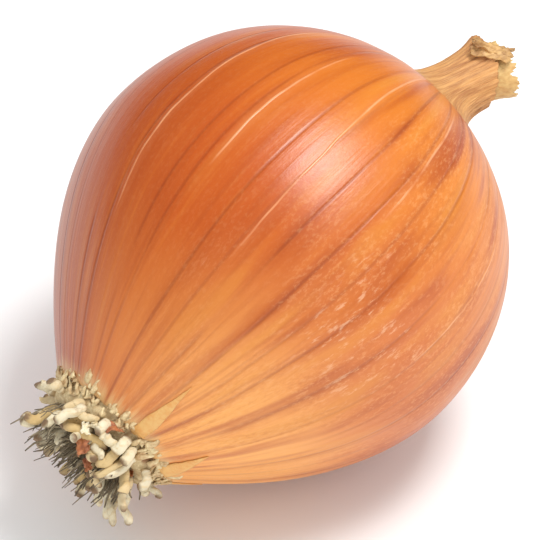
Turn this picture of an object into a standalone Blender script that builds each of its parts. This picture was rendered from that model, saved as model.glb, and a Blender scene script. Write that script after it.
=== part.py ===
"""A whole dry brown onion, lying on its side as it comes to rest.

Pieces: the bulb in its papery skins, the withered neck, the basal plate and the dried roots.
Metres, +Z up. The origin is the centre of the small flat spot that the bulb rests on. The bulb's
own axis runs from the roots, low on the -X side, to the neck, high on the +X side. Each piece is
modelled in the bulb's frame, with the axis as +Z and the widest ring at z = 0, and is laid over
by a parent empty.
"""

import math
import random

import bmesh
import bpy
from mathutils import Matrix, Vector

# the whole onion
BULB_RADIUS = 0.0375
LEAN = math.radians(20)  # how far the axis rises from the roots to the neck
FLAT_DEPTH = 0.0005  # how far the bulb is pressed in where it rests
GAP = 0.0003  # left free between neighbouring pieces

# the bulb's outline, as shares of its radius
SHOULDER_TOP = 0.955  # height of the neck's foot above the widest ring
SHOULDER_POWER = 2.06  # 2 is a round shoulder, and more is a squarer one
ROOT_END = 1.10  # depth of the basal plate under the widest ring
ROOT_TAPER = 0.57  # share of the radius lost one radius under the widest ring
ROOT_POWER = 1.95
ASIDE_WAY = math.radians(-54)  # direction round the axis in which the plate and the neck stray
PLATE_ASIDE = 0.022  # how far the basal plate has grown off the axis
OUTLINE_STEPS = 14  # on each side of the widest ring
BULB_SIDES = 64

# the withered neck, as shares of the bulb's radius
NECK_LENGTH = 0.435
NECK_FOOT = 0.29
NECK_WAIST = 0.134
NECK_FADE = 0.07  # height over which the flared foot dies away
NECK_MOUTH = 0.018  # how much wider than the waist the dry end spreads
NECK_BEND = 0.125  # how far the dry end leans off the axis
NECK_FLATTEN = 0.24  # how much thinner than broad the dry end is
NECK_RINGS = 16
NECK_SIDES = 28

# the basal plate, as shares of the bulb's radius
PLATE_RADIUS = 0.285
PLATE_THICKNESS = 0.085
PLATE_BEVEL = 0.0008
PLATE_SIDES = 40

# the roots: rings of them, each (name, how many, ring radius as a share of the bulb's radius,
# final splay from the axis, shortest, longest). The rim's roots leave the plate's side.
ROOT_RINGS = (
    ("rim", 12, None, math.radians(52), 0.0026, 0.0036),
    ("outer", 18, 0.232, math.radians(36), 0.0058, 0.0082),
    ("inner", 9, 0.115, math.radians(16), 0.0056, 0.0078),
)
ROOT_RADIUS = 0.00092
ROOT_TIP = 0.55  # share of its radius left at a root's blunt tip
ROOT_WANDER = math.radians(7)  # how far a root strays from its ring's splay
ROOT_POINTS = 7
ROOT_SEED = 4

COLOURS = {
    "skin": ((0.62, 0.20, 0.045), 0.38),
    "neck": ((0.66, 0.40, 0.17), 0.7),
    "plate": ((0.62, 0.50, 0.27), 0.8),
    "root": ((0.74, 0.66, 0.46), 0.6),
}


def clear_scene():
    for old in list(bpy.data.objects):
        bpy.data.objects.remove(old)


def material(name):
    """A Principled material with the piece's colour and roughness."""
    colour, roughness = COLOURS[name]
    made = bpy.data.materials.new(name)
    made.use_nodes = True
    shader = made.node_tree.nodes["Principled BSDF"]
    shader.inputs["Base Color"].default_value = (*colour, 1)
    shader.inputs["Roughness"].default_value = roughness
    shader.inputs["Metallic"].default_value = 0
    return made


def place(name, data, finish, axis):
    """Link a new piece to the scene, laid over with the bulb's axis."""
    piece = bpy.data.objects.new(name, data)
    data.materials.append(finish)
    piece.parent = axis
    bpy.context.scene.collection.objects.link(piece)
    return piece


def bulb_outline():
    """(distance from the axis, height) from the basal plate up to the neck's foot."""
    points = []
    for step in range(OUTLINE_STEPS, 0, -1):
        depth = ROOT_END * step / OUTLINE_STEPS
        points.append((1 - ROOT_TAPER * depth**ROOT_POWER, -depth))
    last_turn = math.asin(SHOULDER_TOP ** (SHOULDER_POWER / 2))
    for step in range(OUTLINE_STEPS + 1):
        turn = last_turn * step / OUTLINE_STEPS
        across = math.cos(turn) ** (2 / SHOULDER_POWER)
        height = math.sin(turn) ** (2 / SHOULDER_POWER)
        points.append((across, height))
    return [(BULB_RADIUS * across, BULB_RADIUS * height) for across, height in points]


def aside(depth):
    """How far the bulb's middle has grown off the axis at a depth under its widest ring."""
    share = max(0.0, depth / (ROOT_END * BULB_RADIUS))
    way = Vector((math.cos(ASIDE_WAY), math.sin(ASIDE_WAY), 0))
    return way * PLATE_ASIDE * BULB_RADIUS * share**2


def laid_over(outline):
    """The matrix that leans the axis and sets the outline's lowest point into the floor."""
    lowest = max(outline, key=lambda point: point[0] * math.cos(LEAN) - point[1] * math.sin(LEAN))
    across, height = lowest
    under = across * math.cos(LEAN) - height * math.sin(LEAN)
    ahead = across * math.sin(LEAN) + height * math.cos(LEAN)
    lift = Matrix.Translation((-ahead, 0, under - FLAT_DEPTH))
    return lift @ Matrix.Rotation(math.radians(90) - LEAN, 4, "Y")


def turned(name, outline, sides):
    """A closed mesh turned about +Z from an outline that runs up its outer side."""
    bm = bmesh.new()
    profile = [(0, outline[0][1]), *outline, (0, outline[-1][1])]
    points = [bm.verts.new((across, 0, height)) for across, height in profile]
    edges = [bm.edges.new(pair) for pair in zip(points, points[1:])]
    bmesh.ops.spin(
        bm,
        geom=points + edges,
        axis=(0, 0, 1),
        cent=(0, 0, 0),
        angle=2 * math.pi,
        steps=sides,
        use_merge=True,
    )
    bmesh.ops.remove_doubles(bm, verts=bm.verts[:], dist=1e-6)
    bmesh.ops.recalc_face_normals(bm, faces=bm.faces[:])
    mesh = bpy.data.meshes.new(name)
    bm.to_mesh(mesh)
    bm.free()
    return mesh


def smooth(mesh, angle=40):
    mesh.shade_smooth()
    mesh.set_sharp_from_angle(angle=math.radians(angle))


def press_flat(mesh, laid):
    """Cut the bulb off level where it rests, which is the floor's plane z = 0."""
    bm = bmesh.new()
    bm.from_mesh(mesh)
    back = laid.inverted()
    cut = bmesh.ops.bisect_plane(
        bm,
        geom=bm.verts[:] + bm.edges[:] + bm.faces[:],
        dist=1e-7,
        plane_co=back @ Vector((0, 0, 0)),
        plane_no=back.to_3x3() @ Vector((0, 0, -1)),
        clear_outer=True,
    )
    rim = [part for part in cut["geom_cut"] if isinstance(part, bmesh.types.BMEdge)]
    bmesh.ops.edgeloop_fill(bm, edges=rim)
    bmesh.ops.recalc_face_normals(bm, faces=bm.faces[:])
    bm.to_mesh(mesh)
    bm.free()


def make_bulb(axis, laid):
    """The fleshy bulb in its papery skins, flat under the neck and over the plate."""
    mesh = turned("bulb", bulb_outline(), BULB_SIDES)
    for vertex in mesh.vertices:
        vertex.co += aside(-vertex.co.z)
    press_flat(mesh, laid)
    smooth(mesh)
    place("bulb", mesh, material("skin"), axis)


def neck_ring(climb):
    """The points of one ring of the neck, climb being the share of its length from the foot."""
    above = NECK_LENGTH * climb
    broad = NECK_WAIST + (NECK_FOOT - NECK_WAIST) * math.exp(-above / NECK_FADE)
    broad += NECK_MOUTH * climb**4
    thin = broad * (1 - NECK_FLATTEN * climb)
    astray = NECK_BEND * climb**1.4
    turn = Matrix.Rotation(ASIDE_WAY, 3, "Z")
    height = SHOULDER_TOP + above + GAP / BULB_RADIUS
    ring = []
    for side in range(NECK_SIDES):
        angle = 2 * math.pi * side / NECK_SIDES
        point = turn @ Vector((broad * math.cos(angle) + astray, thin * math.sin(angle), height))
        ring.append(point * BULB_RADIUS)
    return ring


def make_neck(axis):
    """The dry neck: the skins drawn together, withered and bent to one side."""
    bm = bmesh.new()
    rings = []
    for step in range(NECK_RINGS):
        ring = neck_ring(step / (NECK_RINGS - 1))
        rings.append([bm.verts.new(point) for point in ring])
    for low, high in zip(rings, rings[1:]):
        for side in range(NECK_SIDES):
            following = (side + 1) % NECK_SIDES
            bm.faces.new((low[side], low[following], high[following], high[side]))
    bm.faces.new(reversed(rings[0]))
    end = bm.faces.new(rings[-1])
    bmesh.ops.inset_region(bm, faces=[end], thickness=0.0014, depth=0.0009)
    bmesh.ops.recalc_face_normals(bm, faces=bm.faces[:])
    mesh = bpy.data.meshes.new("dry_neck")
    bm.to_mesh(mesh)
    bm.free()
    smooth(mesh)
    place("dry_neck", mesh, material("neck"), axis)


def make_plate(axis):
    """The basal plate: the corky disc that the skins and the roots grow from."""
    top = -ROOT_END * BULB_RADIUS - GAP
    bottom = top - PLATE_THICKNESS * BULB_RADIUS
    radius = PLATE_RADIUS * BULB_RADIUS
    mesh = turned("basal_plate", [(radius, bottom), (radius, top)], PLATE_SIDES)
    plate = place("basal_plate", mesh, material("plate"), axis)
    plate.location = aside(ROOT_END * BULB_RADIUS)
    bevel = plate.modifiers.new("worn edges", "BEVEL")
    bevel.width = PLATE_BEVEL
    bevel.segments = 2
    smooth(mesh)
    return top, bottom


def root_path(start, way, end_way, length):
    """Points from start that set off along way and turn evenly to end_way."""
    points = [start]
    stride = length / (ROOT_POINTS - 1)
    for step in range(1, ROOT_POINTS):
        share = step / (ROOT_POINTS - 1)
        heading = way.lerp(end_way, min(1.0, 1.6 * share)).normalized()
        points.append(points[-1] + heading * stride)
    return points


def make_root(name, points, thickness, finish, axis):
    """One dried root: a tube with a blunt tip."""
    curve = bpy.data.curves.new(name, "CURVE")
    curve.dimensions = "3D"
    curve.bevel_depth = thickness
    curve.bevel_resolution = 2
    curve.use_fill_caps = True
    spline = curve.splines.new("POLY")
    spline.points.add(len(points) - 1)
    for point, place_at in zip(spline.points, points):
        point.co = (*place_at, 1)
        point.radius = 1
    spline.points[-1].radius = ROOT_TIP
    spline.use_smooth = True
    place(name, curve, finish, axis)


def make_roots(axis, plate_top, plate_bottom):
    """The dried roots, in rings under the plate and round its side."""
    chance = random.Random(ROOT_SEED)
    finish = material("root")
    number = 0
    for ring, count, share, splay, shortest, longest in ROOT_RINGS:
        for place_in_ring in range(count):
            number += 1
            angle = 2 * math.pi * (place_in_ring + chance.uniform(-0.08, 0.08)) / count
            out = Vector((math.cos(angle), math.sin(angle), 0))
            along = Vector((-math.sin(angle), math.cos(angle), 0))
            down = Vector((0, 0, -1))
            if ring == "rim":
                way = out
                start = out * (PLATE_RADIUS * BULB_RADIUS + GAP)
                start.z = (plate_top + plate_bottom) / 2
            else:
                way = down
                start = out * share * BULB_RADIUS
                start.z = plate_bottom - GAP
            start += aside(ROOT_END * BULB_RADIUS)
            final = splay + chance.uniform(-ROOT_WANDER, ROOT_WANDER)
            sway = math.tan(chance.uniform(-ROOT_WANDER, ROOT_WANDER))
            end_way = out * math.sin(final) + down * math.cos(final) + along * sway
            length = chance.uniform(shortest, longest)
            points = root_path(start, way, end_way.normalized(), length)
            thickness = ROOT_RADIUS * chance.uniform(0.85, 1.08)
            make_root(f"root_{number:02d}", points, thickness, finish, axis)


clear_scene()
laid_matrix = laid_over(bulb_outline())
bulb_axis = bpy.data.objects.new("bulb_axis", None)
bulb_axis.matrix_world = laid_matrix
bpy.context.scene.collection.objects.link(bulb_axis)
make_bulb(bulb_axis, laid_matrix)
make_neck(bulb_axis)
top_of_plate, bottom_of_plate = make_plate(bulb_axis)
make_roots(bulb_axis, top_of_plate, bottom_of_plate)
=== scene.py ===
"""A whole dry brown onion lying on a pale table: its looks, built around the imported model.

The sections follow the onion as it is put together: the skinned bulb, the slivers torn from it, the
dry neck's sheaths, the basal plate and its collar, the roots, then the table, lights and camera.
The bulb has a frame of its own: +Z runs along its axis from the roots to the neck, with the widest
ring at z = 0, and lengths in it are shares of the bulb's radius.
"""

import math
import random

import bmesh
import bpy
from mathutils import Matrix, Vector, noise
from mathutils.bvhtree import BVHTree


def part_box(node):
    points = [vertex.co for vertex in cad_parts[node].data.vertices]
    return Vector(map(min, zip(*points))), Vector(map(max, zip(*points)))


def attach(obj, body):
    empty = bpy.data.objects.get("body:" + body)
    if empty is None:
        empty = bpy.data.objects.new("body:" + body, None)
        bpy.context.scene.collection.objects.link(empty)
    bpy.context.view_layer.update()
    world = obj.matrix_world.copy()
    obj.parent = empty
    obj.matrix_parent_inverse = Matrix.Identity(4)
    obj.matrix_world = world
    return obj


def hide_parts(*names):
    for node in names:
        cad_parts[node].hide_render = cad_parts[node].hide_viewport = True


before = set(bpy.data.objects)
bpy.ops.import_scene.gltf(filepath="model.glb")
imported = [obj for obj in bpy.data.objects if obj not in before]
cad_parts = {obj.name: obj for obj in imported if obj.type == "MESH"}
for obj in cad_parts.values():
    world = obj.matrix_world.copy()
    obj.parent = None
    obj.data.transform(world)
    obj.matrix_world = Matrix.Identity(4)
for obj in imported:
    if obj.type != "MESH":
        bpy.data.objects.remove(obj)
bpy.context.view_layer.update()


# ---------------------------------------------------------------------------------------------
# The bulb and its outer skin. The skins grow as one bag: tight and glossy over the bulb, drawn in
# to the basal plate below, and gathered above into a neck that dries to wrinkled straw. The bag is
# turned from one outline by Geometry Nodes, with the ribs of the leaf veins round it.
# ---------------------------------------------------------------------------------------------

bulb_low, bulb_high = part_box("bulb")
BULB_RADIUS = (bulb_high.y - bulb_low.y) / 2
LEAN = math.radians(20)  # how far the axis rises from the roots to the neck
FLAT_DEPTH = 0.0005  # how far the bulb is pressed in where it rests

ROOT_END = 1.10  # depth of the plate under the widest ring
ROOT_TAPER = 0.57  # share of the radius lost one radius under the widest ring
ROOT_POWER = 1.95
SHOULDER_TOP = 0.955  # height at which the shoulder sweeps up into the neck
SHOULDER_POWER = 2.06
PLATE_ASIDE = 0.022  # how far the root end has grown off the axis
ASIDE_WAY = math.radians(-54)  # direction round the axis in which root end and neck stray

NECK_WAIST = 0.134
NECK_FADE = 0.055  # height over which the neck's flared foot dies away
NECK_BEND = 0.125  # how far the neck's dry end leans off the axis
NECK_REACH = 0.435  # height above the shoulder at which it has leant that far
NECK_CURVE = 1.4
NECK_FLATTEN = 0.24  # how much thinner than broad the dry end is
NECK_RISE = 0.305  # height of the outer sheath's torn rim above the shoulder
FRONT_WAY = math.radians(-144)  # direction round the axis in which the rim stands higher
RIM_SLANT = 0.29  # share of its height that the rim loses on the side it leans to
RIM_FRONT = 0.13  # share of its height that the rim gains at the front
RIM_WALL = 0.012  # thickness of the sheath at its rim
NECK_MOUTH = 0.02  # how far the rim flares out
NECK_HOLLOW = 0.1  # depth of the mouth inside the rim

SKIN_ROWS = 236
SKIN_SIDES = 320
# shares of the rows: under the widest ring, over the shoulder, up the neck, down inside it
LOWER_ROWS, SHOULDER_ROWS, NECK_ROWS, INSIDE_ROWS = 0.36, 0.34, 0.24, 0.06


def outline_point(height):
    """The bulb's radius at a height, both as shares of its greatest radius."""
    if height < 0:
        return 1 - ROOT_TAPER * (-height) ** ROOT_POWER
    return max(0.0, 1 - height**SHOULDER_POWER) ** (1 / SHOULDER_POWER)


def bulb_place():
    """The matrix that lays the bulb's frame on the table, its lowest point pressed flat."""
    lowest = max(
        (step / 200 for step in range(-160, 100)),
        key=lambda height: outline_point(height) * math.cos(LEAN) - height * math.sin(LEAN),
    )
    across = outline_point(lowest)
    under = across * math.cos(LEAN) - lowest * math.sin(LEAN)
    ahead = across * math.sin(LEAN) + lowest * math.cos(LEAN)
    centre = Matrix.Translation((-ahead * BULB_RADIUS, 0, under * BULB_RADIUS - FLAT_DEPTH))
    return centre @ Matrix.Rotation(math.radians(90) - LEAN, 4, "Y")


BULB_PLACE = bulb_place()


class Value:
    """A node's socket, wrapped so that maths on it is written as a Python expression."""

    def __init__(self, tree, socket=None):
        self.tree = tree
        self.socket = socket

    def node(self, kind, settings=None, sockets=None, out=0):
        """Add a node: its settings first, then its sockets' values or links. Returns one output."""
        made = self.tree.nodes.new(kind)
        for name, value in (settings or {}).items():
            if name == "stops":
                ramp = made.color_ramp
                while len(ramp.elements) < len(value):
                    ramp.elements.new(0.5)
                for element, (position, colour) in zip(ramp.elements, value):
                    element.position = position
                    element.color = (*colour, 1)
            else:
                setattr(made, name, value)
        for name, value in (sockets or {}).items():
            if isinstance(value, Value):
                self.tree.links.new(value.socket, made.inputs[name])
            else:
                made.inputs[name].default_value = value
        return Value(self.tree, made.outputs[out])

    def sibling(self, name):
        """Another output of the same node."""
        return Value(self.tree, self.socket.node.outputs[name])

    def maths(self, operation, *others):
        sockets = dict(enumerate((self, *others)))
        return self.node("ShaderNodeMath", {"operation": operation}, sockets)

    def __add__(self, other):
        return self.maths("ADD", other)

    __radd__ = __add__

    def __mul__(self, other):
        return self.maths("MULTIPLY", other)

    __rmul__ = __mul__

    def __neg__(self):
        return self.maths("MULTIPLY", -1.0)

    def __sub__(self, other):
        return self.maths("SUBTRACT", other)

    def __rsub__(self, other):
        return -self + other

    def __truediv__(self, other):
        return self.maths("DIVIDE", other)

    def __pow__(self, other):
        return self.maths("POWER", other)

    def __abs__(self):
        return self.maths("ABSOLUTE")

    def most(self, other):
        return self.maths("MINIMUM", other)

    def least(self, other):
        return self.maths("MAXIMUM", other)

    def clamped(self):
        return self.least(0.0).most(1.0)

    def cos(self):
        return self.maths("COSINE")

    def sin(self):
        return self.maths("SINE")

    def rising(self, low, high):
        """0 below low, 1 above high, and smooth between them. low may be the larger."""
        settings = {"interpolation_type": "SMOOTHSTEP"}
        return self.node("ShaderNodeMapRange", settings, {0: self, 1: low, 2: high})

    def vector(self, x, y, z):
        return self.node("ShaderNodeCombineXYZ", {}, {0: x, 1: y, 2: z})

    def parts(self):
        x = self.node("ShaderNodeSeparateXYZ", {}, {0: self})
        return x, x.sibling("Y"), x.sibling("Z")

    def stretched(self, x, y, z):
        """This vector with each of its parts multiplied."""
        settings = {"operation": "MULTIPLY"}
        return self.node("ShaderNodeVectorMath", settings, {0: self, 1: (x, y, z)})

    def cloud(self, scale, detail=2.0, roughness=0.5):
        """Noise from 0 to 1 at this place."""
        settings = {"noise_dimensions": "3D"}
        sockets = {"Vector": self, "Scale": scale, "Detail": detail, "Roughness": roughness}
        return self.node("ShaderNodeTexNoise", settings, sockets)

    def place(self):
        """Where the shaded point is, in the piece's own coordinates."""
        return self.node("ShaderNodeTexCoord", {}, {}, "Object")

    def kept(self, name, part="Fac"):
        """What a piece's mesh keeps under a name, for its finish to read."""
        return self.node("ShaderNodeAttribute", {"attribute_name": name}, {}, part)

    def mixed(self, first, second, blend="MIX"):
        """Colours mixed, with this value as the factor."""
        settings = {"data_type": "RGBA", "blend_type": blend, "clamp_factor": True}
        sockets = {0: self}
        for index, colour in ((6, first), (7, second)):
            sockets[index] = colour if isinstance(colour, Value) else (*colour, 1)
        return self.node("ShaderNodeMix", settings, sockets, out=2)

    def keeping(self, name, value, kind="FLOAT"):
        """This geometry, with a value kept on its points under a name."""
        settings = {"data_type": kind, "domain": "POINT"}
        sockets = {"Geometry": self, "Name": name, "Value": value}
        return self.node("GeometryNodeStoreNamedAttribute", settings, sockets)

    def shaped(self, **move):
        """This geometry, with its points put at a Position or shifted by an Offset."""
        return self.node("GeometryNodeSetPosition", {}, {"Geometry": self, **move})

    def laid(self, **more):
        """This geometry, laid on the table out of the bulb's own frame."""
        turn = {"Translation": BULB_PLACE.translation, "Rotation": BULB_PLACE.to_euler()}
        return self.node("GeometryNodeTransform", {}, {"Geometry": self, **turn, **more})

    def welded(self):
        """This geometry, with its seams and poles closed."""
        return self.node("GeometryNodeMergeByDistance", {}, {"Geometry": self, "Distance": 2e-6})


def geometry_tree(name, inputs):
    """A Geometry Nodes tree with its named inputs. Returns (tree, {input: Value})."""
    tree = bpy.data.node_groups.new(name, "GeometryNodeTree")
    tree.interface.new_socket(name="Geometry", in_out="INPUT", socket_type="NodeSocketGeometry")
    for label, kind in inputs.items():
        tree.interface.new_socket(name=label, in_out="INPUT", socket_type=f"NodeSocket{kind}")
    tree.interface.new_socket(name="Geometry", in_out="OUTPUT", socket_type="NodeSocketGeometry")
    start = tree.nodes.new("NodeGroupInput")
    return tree, {socket.name: Value(tree, socket) for socket in start.outputs if socket.name}


def end_tree(geometry, material_input):
    """Every tree ends in Realize Instances and Set Material."""
    real = geometry.node("GeometryNodeRealizeInstances", {}, {0: geometry})
    sockets = {"Geometry": real, "Material": material_input}
    dressed = geometry.node("GeometryNodeSetMaterial", {}, sockets)
    end = geometry.tree.nodes.new("NodeGroupOutput")
    geometry.tree.links.new(dressed.socket, end.inputs[0])


def grown(name, tree, values, start=None):
    """Run a tree once on a start mesh or curve, and return its result as a plain mesh object."""
    data = start or bpy.data.meshes.new(name)
    seed = bpy.data.objects.new(f"{name}_seed", data)
    bpy.context.scene.collection.objects.link(seed)
    modifier = seed.modifiers.new("growth", "NODES")
    modifier.node_group = tree
    for item in tree.interface.items_tree:
        if item.in_out == "INPUT" and item.name in values:
            modifier[item.identifier] = values[item.name]
    evaluated = seed.evaluated_get(bpy.context.evaluated_depsgraph_get())
    mesh = bpy.data.meshes.new_from_object(evaluated)
    mesh.name = name
    seed.modifiers.remove(modifier)
    bpy.data.objects.remove(seed)
    piece = bpy.data.objects.new(name, mesh)
    bpy.context.scene.collection.objects.link(piece)
    mesh.shade_smooth()
    return piece


def outwards(piece):
    """Weld a closed piece's doubles and point its faces outwards."""
    bm = bmesh.new()
    bm.from_mesh(piece.data)
    bmesh.ops.remove_doubles(bm, verts=bm.verts[:], dist=1e-7)
    bmesh.ops.recalc_face_normals(bm, faces=bm.faces[:])
    bm.to_mesh(piece.data)
    bm.free()


def blank_material(name):
    """A new material. Returns (material, its Principled shader, a Value to build nodes from)."""
    made = bpy.data.materials.new(name)
    made.use_nodes = True
    shader = made.node_tree.nodes["Principled BSDF"]
    return made, shader, Value(made.node_tree)


def feed(shader, socket, value):
    shader.id_data.links.new(value.socket, shader.inputs[socket])


def roughen(shader, relief, depth, strength):
    """Fine relief on a finish, as deep as this in metres."""
    sockets = {"Height": relief, "Distance": depth, "Strength": strength}
    feed(shader, "Normal", relief.node("ShaderNodeBump", {}, sockets))


def skin_tree():
    """The skin: a grid bent round the axis by its outline, then ribbed, wrinkled and laid over."""
    inputs = {
        "Radius": "Float",
        "Shoulder Top": "Float",
        "Neck Waist": "Float",
        "Neck Rise": "Float",
        "Neck Bend": "Float",
        "Plate Aside": "Float",
        "Rib Height": "Float",
        "Dent Depth": "Float",
        "Wrinkle Depth": "Float",
        "Rim Tear": "Float",
        "Material": "Material",
    }
    tree, given = geometry_tree("onion_skin", inputs)
    any_value = Value(tree)
    sockets = {"Size X": 1.0, "Size Y": 1.0, "Vertices X": SKIN_SIDES + 1, "Vertices Y": SKIN_ROWS + 1}
    grid = any_value.node("GeometryNodeMeshGrid", {}, sockets)
    x, y, _ = any_value.node("GeometryNodeInputPosition").parts()
    angle = (x + 0.5) * (2 * math.pi)
    row = y + 0.5
    cosine, sine = angle.cos(), angle.sin()

    # the rows run from the axis under the plate, up the outside, over the rim and down inside
    first = 2 / SKIN_ROWS
    rooted = ((row - first) / LOWER_ROWS).clamped()
    shoulder = ((row - first - LOWER_ROWS) / SHOULDER_ROWS).clamped()
    neck = ((row - first - (LOWER_ROWS + SHOULDER_ROWS)) / NECK_ROWS).clamped()
    inside = ((row - first - (1 - INSIDE_ROWS)) / (INSIDE_ROWS - 1.5 * first)).clamped()
    top = given["Shoulder Top"]
    last_turn = math.asin(SHOULDER_TOP ** (SHOULDER_POWER / 2))
    ring = any_value.vector(cosine, sine, 0.0)
    tear = (ring.cloud(3.1, 5.0, 0.75) - 0.5) * given["Rim Tear"]
    slant = 1 - (angle - ASIDE_WAY).cos() * RIM_SLANT + (angle - FRONT_WAY).cos() * RIM_FRONT
    rise = given["Neck Rise"] * slant + tear
    height = (rooted - 1) * ROOT_END
    height += (shoulder * last_turn).sin() ** (2 / SHOULDER_POWER)
    height += rise * neck**1.2 - inside * NECK_HOLLOW

    # the outline
    low = (-height).least(0.0)
    high = height.least(0.0).most(0.9999)
    bulb = (1 - low**ROOT_POWER * ROOT_TAPER) * (1 - high**SHOULDER_POWER) ** (1 / SHOULDER_POWER)
    above = (height - top).least(0.0)
    climb = (above / given["Neck Rise"]).most(1.3)
    foot = outline_point(SHOULDER_TOP)
    waist = given["Neck Waist"]
    spread = (above / -NECK_FADE).maths("EXPONENT")
    stem = waist + (foot - waist) * spread + climb**4 * NECK_MOUTH
    in_neck = height.maths("GREATER_THAN", SHOULDER_TOP)
    radius = bulb * (1 - in_neck) + stem * in_neck

    # ribs and dents on the bulb, and long pleats on the neck
    grain = any_value.vector(cosine, sine, height * 0.22)
    ribs = (grain.cloud(5.5, 2.0, 0.6) - 0.5) * given["Rib Height"]
    dents = (any_value.vector(cosine, sine, height).cloud(1.3, 1.0) - 0.5) * given["Dent Depth"]
    pleat = any_value.vector(cosine, sine, height * 0.5).cloud(3.6, 4.0, 0.65)
    pleats = (abs(pleat - 0.5) * -4 + 0.5) * given["Wrinkle Depth"]
    pleated = above.rising(0.0, 0.16)
    radius += ribs * (1 - pleated) + dents * (1 - pleated) + pleats * pleated
    radius *= (row * (SKIN_ROWS / 2)).clamped()
    radius -= inside * RIM_WALL
    radius *= ((1 - row) * (SKIN_ROWS / 2)).clamped()

    # the root end and the neck stray off the axis, and the dry neck is flattened
    share = (low / ROOT_END) ** 2
    astray = given["Plate Aside"] * share + given["Neck Bend"] * (above / NECK_REACH) ** NECK_CURVE
    thin = 1 - climb.most(1.0) * NECK_FLATTEN
    along = radius * (angle - ASIDE_WAY).cos() + astray
    across = radius * (angle - ASIDE_WAY).sin() * thin
    east = along * math.cos(ASIDE_WAY) - across * math.sin(ASIDE_WAY)
    north = along * math.sin(ASIDE_WAY) + across * math.cos(ASIDE_WAY)
    size = given["Radius"]
    marked = grid.keeping("grain", any_value.vector(cosine, sine, height), "FLOAT_VECTOR")
    position = any_value.vector(east * size, north * size, height * size)
    laid = marked.shaped(Position=position).laid()
    place_x, place_y, place_z = any_value.node("GeometryNodeInputPosition").parts()
    pressed = any_value.vector(place_x, place_y, place_z.least(0.0))
    end_tree(laid.shaped(Position=pressed).welded(), given["Material"])
    return tree


VEINS = 38  # leaf veins round the bulb
RAISED_LINES = (  # degrees round the axis, lean off it, lowest and highest place
    (-155, 0.05, -0.45, 1.0),
    (165, 0.03, -0.6, 0.9),
    (-174.5, 0.02, -0.3, 0.7),
    (-133, 0.02, 0.1, 0.9),
    (-98, -0.04, -0.2, 0.62),
    (60, 0.05, -0.5, 0.8),
    (-20, -0.05, -0.6, 0.7),
    (100, 0.02, -0.7, 0.5),
)


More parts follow.
